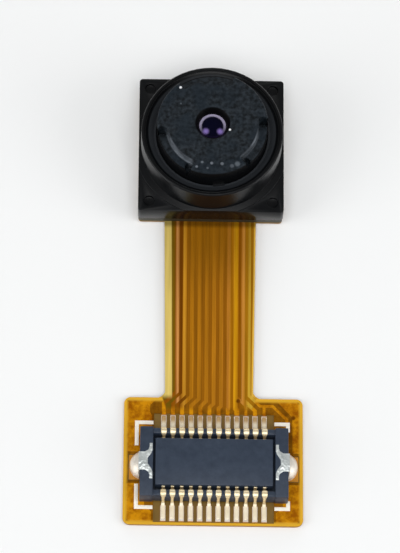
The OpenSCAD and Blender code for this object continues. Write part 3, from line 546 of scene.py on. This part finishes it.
def amberFilm(name, tint, setup):
    # polyimide film laminated over etched copper: amber, a soft gloss, paler where no copper backs it,
    # streaked along the tail and mottled on the pad where the adhesive flowed
    material, tree, shader, coords = newMaterial(name, {
        "Roughness": setup["roughness"], "IOR": 1.7, "Specular IOR Level": 0.03})
    parts = addNode(tree, "ShaderNodeSeparateXYZ", links={0: coords})
    along = addNode(tree, "ShaderNodeMath", {"operation": "SUBTRACT"}, {1: setup["padEndY"]},
                    {0: parts.outputs[1]})
    half = addNode(tree, "ShaderNodeMath", {"operation": "MULTIPLY_ADD"},
                   {1: setup["tailTaper"], 2: setup["tailHalfAtPad"]}, {0: along.outputs[0]})
    share = addNode(tree, "ShaderNodeMath", {"operation": "DIVIDE"},
                    links={0: parts.outputs[0], 1: half.outputs[0]})
    unit = addNode(tree, "ShaderNodeMapRange", values={"From Min": -1}, links={"Value": share.outputs[0]})
    ramp = addNode(tree, "ShaderNodeValToRGB", links={0: unit.outputs[0]})
    for place, colour in tint["stops"]:
        stop = ramp.color_ramp.elements.new((place + 1) / 2)
        stop.color = toLinear(colour)
    ramp.color_ramp.elements.remove(ramp.color_ramp.elements[-1])
    ramp.color_ramp.elements.remove(ramp.color_ramp.elements[0])
    # pale borders of the tail
    leftSide = addNode(tree, "ShaderNodeMapRange", {"interpolation_type": "SMOOTHSTEP"},
                       {"From Min": setup["leftBorder"], "From Max": setup["leftBorder"] - 0.03},
                       {"Value": share.outputs[0]})
    rightSide = addNode(tree, "ShaderNodeMapRange", {"interpolation_type": "SMOOTHSTEP"},
                        {"From Min": setup["rightBorder"], "From Max": setup["rightBorder"] + 0.03},
                        {"Value": share.outputs[0]})
    bothSides = addNode(tree, "ShaderNodeMath", {"operation": "ADD"},
                        links={0: leftSide.outputs[0], 1: rightSide.outputs[0]})
    abovePad = addNode(tree, "ShaderNodeMapRange", {"interpolation_type": "SMOOTHSTEP"},
                       {"From Min": setup["padEndY"] - 0.1, "From Max": setup["padEndY"] + 0.2},
                       {"Value": parts.outputs[1]})
    sides = addNode(tree, "ShaderNodeMath", {"operation": "MULTIPLY"},
                    links={0: bothSides.outputs[0], 1: abovePad.outputs[0]})
    # towards the head the lines in the middle fade into one even colour
    headwardBlend = addNode(tree, "ShaderNodeMapRange", {"interpolation_type": "SMOOTHSTEP"},
                    {"From Min": setup["middleFade"][0], "From Max": setup["middleFade"][1],
                     "To Max": setup["middleShare"]}, {"Value": parts.outputs[1]})
    sideways = addNode(tree, "ShaderNodeMath", {"operation": "ABSOLUTE"}, links={0: share.outputs[0]})
    inMiddle = addNode(tree, "ShaderNodeMapRange", {"interpolation_type": "SMOOTHSTEP"},
                       {"From Min": setup["middleHalf"], "From Max": setup["middleHalf"] - 0.10},
                       {"Value": sideways.outputs[0]})
    evenMiddleBlend = addNode(tree, "ShaderNodeMath", {"operation": "MULTIPLY"},
                          links={0: headwardBlend.outputs[0], 1: inMiddle.outputs[0]})
    film = addNode(tree, "ShaderNodeMix", {"data_type": "RGBA"}, {7: setup["middle"]},
                   {0: evenMiddleBlend.outputs[0], 6: ramp.outputs[0]})
    border = addNode(tree, "ShaderNodeMix", {"data_type": "RGBA"},
                     {6: setup["border"], 7: setup["borderRight"]}, {0: unit.outputs[0]})
    tail = addNode(tree, "ShaderNodeMix", {"data_type": "RGBA"},
                   links={0: sides.outputs[0], 6: film.outputs[2], 7: border.outputs[2]})
    # the tail darkens towards the head
    nearHead = addNode(tree, "ShaderNodeMapRange", {"interpolation_type": "SMOOTHSTEP"},
                       {"From Min": setup["shadeFade"][0], "From Max": setup["shadeFade"][1],
                        "To Min": 1.0, "To Max": tint["headShade"]}, {"Value": parts.outputs[1]})
    streakPlace = addNode(tree, "ShaderNodeMapping", values={"Scale": setup["streakStretch"]},
                          links={"Vector": coords})
    streaks = addNode(tree, "ShaderNodeTexNoise", values={"Scale": setup["streaksPerMm"], "Detail": 3},
                      links={"Vector": streakPlace.outputs[0]})
    streakLevel = addNode(tree, "ShaderNodeMapRange", values={
        "From Min": 0.3, "From Max": 0.7, "To Min": 0.82, "To Max": 1.18},
                          links={"Value": streaks.outputs[0]})
    atWall = addNode(tree, "ShaderNodeMapRange", {"interpolation_type": "SMOOTHSTEP"},
                     {"From Min": setup["wallFade"][0], "From Max": setup["wallFade"][1],
                      "To Min": 1.0, "To Max": setup["wallShade"]}, {"Value": parts.outputs[1]})
    headLevel = addNode(tree, "ShaderNodeMath", {"operation": "MULTIPLY"},
                        links={0: nearHead.outputs[0], 1: atWall.outputs[0]})
    tailLevel = addNode(tree, "ShaderNodeMath", {"operation": "MULTIPLY"},
                        links={0: headLevel.outputs[0], 1: streakLevel.outputs[0]})
    tailShaded = addNode(tree, "ShaderNodeVectorMath", {"operation": "SCALE"},
                         links={0: tail.outputs[2], "Scale": tailLevel.outputs[0]})
    # mottled pad
    mottle = addNode(tree, "ShaderNodeTexNoise",
                     values={"Scale": setup["mottlePerMm"], "Detail": 4, "Roughness": 0.65},
                     links={"Vector": coords})
    mottleLevel = addNode(tree, "ShaderNodeMapRange", values={"From Min": 0.36, "From Max": 0.60},
                          links={"Value": mottle.outputs[0]})
    padColour = addNode(tree, "ShaderNodeMix", {"data_type": "RGBA"},
                        {6: tint["pad"][0], 7: tint["pad"][1]}, {0: mottleLevel.outputs[0]})
    # the lines keep their own colours a little way onto the pad
    besideTail = addNode(tree, "ShaderNodeMath", {"operation": "ABSOLUTE"}, links={0: share.outputs[0]})
    padStart = addNode(tree, "ShaderNodeMapRange", {"interpolation_type": "SMOOTHSTEP"},
                       {"From Min": 0.97, "From Max": 1.10, "To Min": setup["padEndY"] - 0.35,
                        "To Max": setup["padEndY"] + 0.25}, {"Value": besideTail.outputs[0]})
    intoPad = addNode(tree, "ShaderNodeMath", {"operation": "SUBTRACT"},
                      links={0: padStart.outputs[0], 1: parts.outputs[1]})
    onPad = addNode(tree, "ShaderNodeMapRange", {"interpolation_type": "SMOOTHSTEP"},
                    {"From Min": 0.0, "From Max": 0.3}, {"Value": intoPad.outputs[0]})
    both = addNode(tree, "ShaderNodeMix", {"data_type": "RGBA"},
                   links={0: onPad.outputs[0], 6: tailShaded.outputs[0], 7: padColour.outputs[2]})
    # pale rim round the pad
    low, high = setup["padBox"]
    rims = []
    for axis in (0, 1):
        middle, reach = (low[axis] + high[axis]) / 2, (high[axis] - low[axis]) / 2
        offset = addNode(tree, "ShaderNodeMath", {"operation": "SUBTRACT"}, {1: middle},
                         {0: parts.outputs[axis]})
        size = addNode(tree, "ShaderNodeMath", {"operation": "ABSOLUTE"}, links={0: offset.outputs[0]})
        rims.append(addNode(tree, "ShaderNodeMapRange", {"interpolation_type": "SMOOTHSTEP"},
                            {"From Min": reach - setup["rimWidth"], "From Max": reach - 0.08},
                            {"Value": size.outputs[0]}))
    rim = addNode(tree, "ShaderNodeMath", {"operation": "MAXIMUM"},
                  links={0: rims[0].outputs[0], 1: rims[1].outputs[0]})
    rimOnPad = addNode(tree, "ShaderNodeMath", {"operation": "MULTIPLY"},
                       links={0: rim.outputs[0], 1: onPad.outputs[0]})
    colour = addNode(tree, "ShaderNodeMix", {"data_type": "RGBA"}, {7: setup["rim"]},
                     {0: rimOnPad.outputs[0], 6: both.outputs[2]})
    # small plated-through holes show as dark dots
    flat = addNode(tree, "ShaderNodeCombineXYZ", links={0: parts.outputs[0], 1: parts.outputs[1]})
    for spot in setup["viaDots"]:
        away = addNode(tree, "ShaderNodeVectorMath", {"operation": "DISTANCE"}, {1: (*spot, 0)},
                       {0: flat.outputs[0]})
        dot = addNode(tree, "ShaderNodeMapRange", {"interpolation_type": "SMOOTHSTEP"},
                      {"From Min": 0.13, "From Max": 0.05}, {"Value": away.outputs["Value"]})
        colour = addNode(tree, "ShaderNodeMix", {"data_type": "RGBA"}, {7: setup["via"]},
                         {0: dot.outputs[0], 6: colour.outputs[2]})
    tree.links.new(colour.outputs[2], shader.inputs["Base Color"])
    bump = addNode(tree, "ShaderNodeBump", values={"Distance": setup["mottleDepth"] * mm},
                   links={"Height": mottle.outputs[0]})
    tree.links.new(bump.outputs[0], shader.inputs["Normal"])
    return material


def makeRidges(setup):
    # the film lies over each copper line as a low rounded ridge
    piece = copyOfNode("upper_copper", "coverFilmRidges")
    low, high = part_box("upper_copper")
    startPiece(piece)
    bpy.ops.mesh.bisect(plane_co=(0, setup["cutY"] * mm, 0), plane_no=(0, 1, 0), use_fill=True,
                        clear_outer=True)
    bpy.ops.mesh.select_all(action="SELECT")
    bpy.ops.transform.translate(value=(0, 0, setup["bottom"] * mm - low.z))
    bpy.ops.transform.resize(value=(1, 1, setup["stretch"] * setup["height"] * mm / (high.z - low.z)),
                             center_override=(0, 0, setup["bottom"] * mm))
    bpy.ops.object.mode_set(mode="OBJECT")
    roundEdges(piece, setup["round"], 3, 50)
    startPiece(piece)
    bpy.ops.transform.resize(value=(1, 1, 1 / setup["stretch"]),
                             center_override=(0, 0, setup["bottom"] * mm))
    bpy.ops.object.mode_set(mode="OBJECT")
    finishPiece(piece, amberFilm("filmOverCopper", filmSetup["overCopper"], filmSetup), "cover_film",
                smoothAngle=50)


def makeMarks(setup):
    piece = copyOfNode("corner_marks", "cornerMarks")
    startPiece(piece)
    bpy.ops.transform.translate(value=(0, 0, setup["lift"] * mm))
    bpy.ops.object.mode_set(mode="OBJECT")
    roundEdges(piece, setup["edge"])
    # screen-printed ink: thick and matt, a creamy white that is a little uneven
    material, tree, shader, coords = newMaterial("whiteScreenInk", {"Roughness": setup["roughness"]})
    uneven = addNode(tree, "ShaderNodeTexNoise", values={"Scale": 4, "Detail": 3}, links={"Vector": coords})
    colour = addNode(tree, "ShaderNodeMix", {"data_type": "RGBA"}, {6: setup["dark"], 7: setup["light"]},
                     {0: uneven.outputs[0]})
    tree.links.new(colour.outputs[2], shader.inputs["Base Color"])
    finishPiece(piece, material, "white_ink", "corner_marks")


paintNode("upper_cover", amberFilm("filmOverCore", filmSetup["overCore"], filmSetup))
makeRidges(ridgeSetup)
makeMarks(markSetup)
print("flex tail made")


housingSetup = {
    "blockLength": 0.57,
    "wallOutside": 1.56,  # from the centre line to a long wall's outer face
    "wallInside": 1.30,
    "islandGap": 0.10,
    "islandHalf": 1.08,
    "floorTop": 0.455,
    "wallTop": 1.025,
    "islandTop": 1.065,
    "edge": 0.03,
    "dark": "#1c2636",
    "light": "#3f4a5a",
    "roughness": 0.38,
    "cloudsPerMm": 1.8,
    "grainPerMm": 16,
    "grainDepth": 0.003,
}

contactSetup = {
    "count": 12,
    "pitch": 0.4,
    "thickness": 0.06,
    "edge": 0.018,
    "path": [  # distance from the centre line, height, width
        (2.38, 0.285, 0.17), (2.30, 0.290, 0.19), (1.86, 0.290, 0.19), (1.74, 0.295, 0.17),
        (1.64, 0.345, 0.14), (1.59, 0.43, 0.13), (1.59, 0.90, 0.13), (1.585, 0.99, 0.20),
        (1.53, 1.050, 0.25), (1.43, 1.068, 0.26), (1.34, 1.050, 0.25), (1.275, 0.99, 0.20),
        (1.27, 0.90, 0.14), (1.27, 0.54, 0.14), (1.19, 0.485, 0.14), (1.11, 0.54, 0.14),
        (1.11, 0.95, 0.16)],
    "light": "#fff4d6",
    "dark": "#dfc38a",
    "roughness": 0.40,
    "metallic": 0.7,
    "tailStart": 1.64,  # from the centre line, where the solder begins to cover the tails
    "solderLight": "#fff6e2",
    "solderDark": "#e9d6b0",
    "solderMetallic": 0.15,
    "flux": "#a97f3c",  # brown flux on the outer ends of the far row
    "fluxStart": 1.95,
    "fluxShare": 0.85,
    "cloudsPerMm": 2.5,
}

clipSetup = {
    "edge": 0.015,
    "solderHeight": 0.48,
    "solderRadius": 0.55,
    "solderInside": 0.10,  # middle of a heap inside the housing's end
    "solderSpread": 1.15,  # a heap is this much longer than round along the housing's end
    "solderShift": 0.07,
    "solderGap": 0.03,  # from the housing's end to the heap's flat side
    "tinLight": "#f0f4f2",
    "tinDark": "#b4bdbd",
    "tinRoughness": 0.38,
    "tinMetallic": 0.65,
    "tinCloudsPerMm": 3.0,
    "tinDents": 0.05,
    "solderLight": "#fffaf2",
    "solderDark": "#e6dac9",
    "solderRoughness": 0.44,
    "solderMetallic": 0.6,
    "solderCloudsPerMm": 2.0,
}

# the lands are gold stained amber by flux, and hardly shine
landSetup = {"light": "#cf8e1c", "dark": "#a96c0e", "roughness": 0.6, "metallic": 0.1, "cloudsPerMm": 3.0}


def platedMetal(name, light, dark, roughness, metallic, cloudsPerMm, dentDepth=0.0):
    # plated or reflowed metal: bright and softly mirrored, with slow clouds where the finish varies,
    # and soft dents where a depth is given
    material, tree, shader, coords = newMaterial(name, {"Metallic": metallic})
    cloud = addNode(tree, "ShaderNodeTexNoise", values={"Scale": cloudsPerMm, "Detail": 2},
                    links={"Vector": coords})
    colour = addNode(tree, "ShaderNodeMix", {"data_type": "RGBA"}, {6: dark, 7: light},
                     {0: cloud.outputs[0]})
    tree.links.new(colour.outputs[2], shader.inputs["Base Color"])
    dull = addNode(tree, "ShaderNodeMapRange",
                   values={"To Min": roughness - 0.05, "To Max": roughness + 0.07},
                   links={"Value": cloud.outputs[0]})
    tree.links.new(dull.outputs[0], shader.inputs["Roughness"])
    if dentDepth:
        dents = addNode(tree, "ShaderNodeTexNoise", values={"Scale": 2 * cloudsPerMm, "Detail": 1},
                        links={"Vector": coords})
        bump = addNode(tree, "ShaderNodeBump", values={"Distance": dentDepth * mm},
                       links={"Height": dents.outputs[0]})
        tree.links.new(bump.outputs[0], shader.inputs["Normal"])
    return material


def solderedPlating(setup, middleY):
    # hard gold where the mating part touches, soft white solder over the tails, brown flux on the far ends
    material, tree, shader, coords = newMaterial("goldAndSolderPlating", {"Roughness": setup["roughness"]})
    cloud = addNode(tree, "ShaderNodeTexNoise", values={"Scale": setup["cloudsPerMm"], "Detail": 2},
                    links={"Vector": coords})
    goldColour = addNode(tree, "ShaderNodeMix", {"data_type": "RGBA"},
                         {6: setup["dark"], 7: setup["light"]}, {0: cloud.outputs[0]})
    solderColour = addNode(tree, "ShaderNodeMix", {"data_type": "RGBA"},
                           {6: setup["solderDark"], 7: setup["solderLight"]}, {0: cloud.outputs[0]})
    parts = addNode(tree, "ShaderNodeSeparateXYZ", links={0: coords})
    fromMiddle = addNode(tree, "ShaderNodeMath", {"operation": "SUBTRACT"}, {1: middleY},
                         {0: parts.outputs[1]})
    reach = addNode(tree, "ShaderNodeMath", {"operation": "ABSOLUTE"}, links={0: fromMiddle.outputs[0]})
    covered = addNode(tree, "ShaderNodeMapRange", {"interpolation_type": "SMOOTHSTEP"},
                      {"From Min": setup["tailStart"], "From Max": setup["tailStart"] + 0.1},
                      {"Value": reach.outputs[0]})
    stained = addNode(tree, "ShaderNodeMapRange", {"interpolation_type": "SMOOTHSTEP"},
                      {"From Min": setup["fluxStart"], "From Max": setup["fluxStart"] + 0.3,
                       "To Max": setup["fluxShare"]}, {"Value": fromMiddle.outputs[0]})
    plated = addNode(tree, "ShaderNodeMix", {"data_type": "RGBA"},
                     links={0: covered.outputs[0], 6: goldColour.outputs[2], 7: solderColour.outputs[2]})
    colour = addNode(tree, "ShaderNodeMix", {"data_type": "RGBA"}, {7: setup["flux"]},
                     {0: stained.outputs[0], 6: plated.outputs[2]})
    tree.links.new(colour.outputs[2], shader.inputs["Base Color"])
    shine = addNode(tree, "ShaderNodeMapRange", values={"To Min": setup["metallic"],
                                                        "To Max": setup["solderMetallic"]},
                    links={"Value": covered.outputs[0]})
    tree.links.new(shine.outputs[0], shader.inputs["Metallic"])
    return material


def makeHousing(setup):
    low, high = [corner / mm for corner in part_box("connector_housing")]
    middle = (low + high) / 2
    inner = high.x - middle.x - setup["blockLength"]
    island = inner - setup["islandGap"]
    y = middle.y
    blocks = [
        addBlock("housingFloor", (low.x + 0.3, y - setup["wallOutside"] + 0.02, low.z),
                 (high.x - 0.3, y + setup["wallOutside"] - 0.02, setup["floorTop"]), 0.01),
        addBlock("housingIsland", (middle.x - island, y - setup["islandHalf"], low.z + 0.05),
                 (middle.x + island, y + setup["islandHalf"], setup["islandTop"]), setup["edge"]),
    ]
    for side in (-1, 1):
        walls = sorted((y + side * setup["wallInside"], y + side * setup["wallOutside"]))
        blocks.append(addBlock("housingWall", (low.x + 0.3, walls[0], low.z),
                               (high.x - 0.3, walls[1], setup["wallTop"]), 0.05))
        ends = sorted((middle.x + side * inner, middle.x + side * (high.x - middle.x)))
        blocks.append(addBlock("housingEnd", (ends[0], low.y, low.z), (ends[1], high.y, high.z - 0.006),
                               setup["edge"]))
    piece = joinPieces("connectorHousing", blocks)
    # liquid crystal polymer, moulded round the contacts: slate blue, dull, slightly cloudy
    material, tree, shader, coords = newMaterial("connectorPolymer", {
        "Roughness": setup["roughness"], "IOR": 1.55, "Specular IOR Level": 0.3})
    cloud = addNode(tree, "ShaderNodeTexNoise",
                    values={"Scale": setup["cloudsPerMm"], "Detail": 6, "Roughness": 0.7},
                    links={"Vector": coords})
    colour = addNode(tree, "ShaderNodeMix", {"data_type": "RGBA"}, {6: setup["dark"], 7: setup["light"]},
                     {0: cloud.outputs[0]})
    tree.links.new(colour.outputs[2], shader.inputs["Base Color"])
    fine = addNode(tree, "ShaderNodeTexNoise", values={"Scale": setup["grainPerMm"], "Detail": 2},
                   links={"Vector": coords})
    bump = addNode(tree, "ShaderNodeBump", values={"Distance": setup["grainDepth"] * mm},
                   links={"Height": fine.outputs[0]})
    tree.links.new(bump.outputs[0], shader.inputs["Normal"])
    finishPiece(piece, material, "connector_plastic", "connector_housing")


def makeContacts(setup):
    low, high = [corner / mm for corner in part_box("connector_housing")]
    middle = (low + high) / 2
    plating = solderedPlating(setup, middle.y)
    firstX = middle.x - (setup["count"] - 1) / 2 * setup["pitch"]
    rows = ((1, "far_contacts", "farContacts"), (-1, "near_contacts", "nearContacts"))
    for side, nodeName, pieceName in rows:
        # one strip: a narrow plane drawn out along the path, edge by edge
        (y0, z0, w0), (y1, z1, w1) = setup["path"][:2]
        bpy.ops.object.select_all(action="DESELECT")
        bpy.ops.mesh.primitive_plane_add(size=1, location=(0, 0, 0))
        row = bpy.context.object
        row.name = pieceName
        startPiece(row)
        bpy.ops.transform.resize(value=(w0 * mm, (y0 - y1) * mm, 1))
        bpy.ops.transform.translate(value=(firstX * mm, (middle.y + side * (y0 + y1) / 2) * mm, z0 * mm))
        bpy.ops.mesh.select_all(action="DESELECT")
        bpy.ops.object.mode_set(mode="OBJECT")
        inward = [edge for edge in row.data.edges
                  if all(abs(row.data.vertices[v].co.y - (middle.y + side * y1) * mm) < 1e-7
                         for v in edge.vertices)]
        for edge in inward:
            edge.select = True
            for v in edge.vertices:
                row.data.vertices[v].select = True
        bpy.ops.object.mode_set(mode="EDIT")
        bpy.ops.transform.resize(value=(w1 / w0, 1, 1), center_override=(firstX * mm, 0, 0))
        bpy.ops.transform.translate(value=(0, 0, (z1 - z0) * mm))
        for (ya, za, wa), (yb, zb, wb) in zip(setup["path"][1:], setup["path"][2:]):
            bpy.ops.mesh.extrude_region_move(
                TRANSFORM_OT_translate={"value": (0, side * (yb - ya) * mm, (zb - za) * mm)})
            bpy.ops.transform.resize(value=(wb / wa, 1, 1), center_override=(firstX * mm, 0, 0))
        bpy.ops.mesh.select_all(action="SELECT")
        bpy.ops.mesh.normals_make_consistent(inside=False)
        bpy.ops.object.mode_set(mode="OBJECT")
        applyModifier(row, "SOLIDIFY", thickness=setup["thickness"] * mm, offset=0)
        roundEdges(row, setup["edge"], 2, 60)
        applyModifier(row, "SUBSURF", levels=1, render_levels=1)
        startPiece(row)
        for _ in range(1, setup["count"]):
            bpy.ops.mesh.duplicate_move(TRANSFORM_OT_translate={"value": (setup["pitch"] * mm, 0, 0)})
        bpy.ops.object.mode_set(mode="OBJECT")
        finishPiece(row, plating, "gold_plating", nodeName, smoothAngle=60)


def makeClips(setup, tin, solder):
    low, high = [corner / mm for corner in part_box("connector_housing")]
    middle = (low + high) / 2
    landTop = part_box("contact_lands")[1].z / mm
    for nodeName, pieceName in (("left_clip", "leftClip"), ("right_clip", "rightClip")):
        clip = copyOfNode(nodeName, pieceName)
        roundEdges(clip, setup["edge"])
        finishPiece(clip, tin, "tin_plating", nodeName)
    heaps = []
    for side in (-1, 1):
        endX = middle.x + side * (high.x - middle.x)
        centre = ((endX - side * setup["solderInside"]) * mm, (middle.y + setup["solderShift"]) * mm,
                  landTop * mm)
        bpy.ops.object.select_all(action="DESELECT")
        bpy.ops.mesh.primitive_uv_sphere_add(segments=40, ring_count=20,
                                             radius=setup["solderRadius"] * mm, location=centre)
        heap = bpy.context.object
        bpy.ops.object.transform_apply(location=True)
        startPiece(heap)
        squash = setup["solderHeight"] / setup["solderRadius"]
        bpy.ops.transform.resize(value=(1, setup["solderSpread"], squash), center_override=centre)
        bpy.ops.object.mode_set(mode="OBJECT")
        # only what lies over the land and beyond the housing's end is kept
        bpy.ops.object.select_all(action="DESELECT")
        bpy.ops.mesh.primitive_cube_add(size=2 * mm, location=(
            (endX + side * (1 + setup["solderGap"])) * mm, middle.y * mm, (landTop + 1) * mm))
        kept = bpy.context.object
        applyModifier(heap, "BOOLEAN", operation="INTERSECT", object=kept, solver="EXACT")
        bpy.data.objects.remove(kept)
        heaps.append(heap)
    piece = joinPieces("clipSolder", heaps)
    finishPiece(piece, solder, "solder", "clip_solder", smoothAngle=60)


gold = platedMetal("goldPlating", contactSetup["light"], contactSetup["dark"], contactSetup["roughness"],
                   contactSetup["metallic"], contactSetup["cloudsPerMm"])
tin = platedMetal("mattTinPlating", clipSetup["tinLight"], clipSetup["tinDark"], clipSetup["tinRoughness"],
                  clipSetup["tinMetallic"], clipSetup["tinCloudsPerMm"], clipSetup["tinDents"])
solder = platedMetal("reflowedSolder", clipSetup["solderLight"], clipSetup["solderDark"],
                     clipSetup["solderRoughness"], clipSetup["solderMetallic"],
                     clipSetup["solderCloudsPerMm"])
landGold = platedMetal("fluxStainedGold", landSetup["light"], landSetup["dark"], landSetup["roughness"],
                       landSetup["metallic"], landSetup["cloudsPerMm"])
makeHousing(housingSetup)
makeContacts(contactSetup)
makeClips(clipSetup, tin, solder)
for goldNode in ("bond_pads", "bond_wires"):
    paintNode(goldNode, gold)
paintNode("contact_lands", landGold)
paintNode("contact_solder", solder)
paintNode("capacitor_ends", tin)
print("connector made")


layerSetup = [  # node, material, dark, light, roughness, metallic, patches per millimetre
    ("stiffener_plate", "rolledStainlessSteel", "#8c8c88", "#a9a9a4", 0.30, 1.0, 2.0),  # soft grey sheen
    ("plate_film", "adhesiveFilm", "#b5ae98", "#c5bea8", 0.5, 0.0, 2.0),  # milky edge line
    ("pad_film", "adhesiveFilmPad", "#b5ae98", "#c5bea8", 0.5, 0.0, 2.0),
    ("lower_cover", "polyimideFilmLower", "#9a6410", "#b87c1e", 0.3, 0.0, 1.5),  # amber back
    ("lower_copper", "rolledCopperLower", "#b0683c", "#c98050", 0.35, 1.0, 2.0),  # warm metal edge
    ("upper_copper", "rolledCopperUpper", "#b0683c", "#c98050", 0.35, 1.0, 2.0),
    ("flex_core", "polyimideCore", "#6a4f16", "#8a6a26", 0.4, 0.0, 2.5),  # olive brown in the windows
    ("pad_stiffener", "polyimideStiffener", "#96600f", "#b37820", 0.4, 0.0, 1.5),  # dull amber board
    ("sensor_board", "glassEpoxyLaminate", "#24221a", "#3d3a2b", 0.5, 0.0, 3.0),  # olive cut edge
    ("holder_glue", "blackEpoxyGlue", "#08090a", "#121314", 0.35, 0.0, 2.0),
    ("filter_glue", "blackFilterGlue", "#08090a", "#121314", 0.35, 0.0, 2.0),
    ("focus_glue", "threadLockGlue", "#0a0b0d", "#16181b", 0.2, 0.0, 2.0),  # wet-looking beads
    ("die_film", "dieAttachFilm", "#3a3a38", "#4a4a46", 0.5, 0.0, 2.0),
    ("sensor_die", "polishedSilicon", "#1d2430", "#2b3442", 0.12, 0.0, 1.0),  # dark mirror
    ("capacitors", "firedCeramic", "#8a6a4c", "#a07c58", 0.55, 0.0, 6.0),  # matt tan
    ("ir_filter", "coatedFilterGlass", "#1c3036", "#28464a", 0.05, 0.0, 0.8),  # teal gloss
    ("lens_retainer", "blackRetainerPlastic", "#0c0e10", "#181b1e", 0.45, 0.0, 3.0),
    ("aperture_ring", "blackStopFilm", "#060607", "#0e0e10", 0.6, 0.0, 2.0),
    ("spacer_ring", "blackSpacerFilm", "#060607", "#0e0e10", 0.6, 0.0, 2.0),
    ("middle_lens", "middleLensResin", "#15122a", "#201c38", 0.05, 0.0, 1.0),
    ("rear_lens", "rearLensResin", "#15122a", "#201c38", 0.05, 0.0, 1.0),
]


def paintLayers(rows):
    for nodeName, materialName, dark, light, roughness, metallic, patches in rows:
        material, tree, shader, coords = newMaterial(materialName, {"Metallic": metallic})
        patch = addNode(tree, "ShaderNodeTexNoise", values={"Scale": patches, "Detail": 3},
                        links={"Vector": coords})
        colour = addNode(tree, "ShaderNodeMix", {"data_type": "RGBA"}, {6: dark, 7: light},
                         {0: patch.outputs[0]})
        tree.links.new(colour.outputs[2], shader.inputs["Base Color"])
        dull = addNode(tree, "ShaderNodeMapRange",
                       values={"To Min": roughness * 0.9, "To Max": roughness * 1.15},
                       links={"Value": patch.outputs[0]})
        tree.links.new(dull.outputs[0], shader.inputs["Roughness"])
        paintNode(nodeName, material)


paintLayers(layerSetup)
print("layers painted")
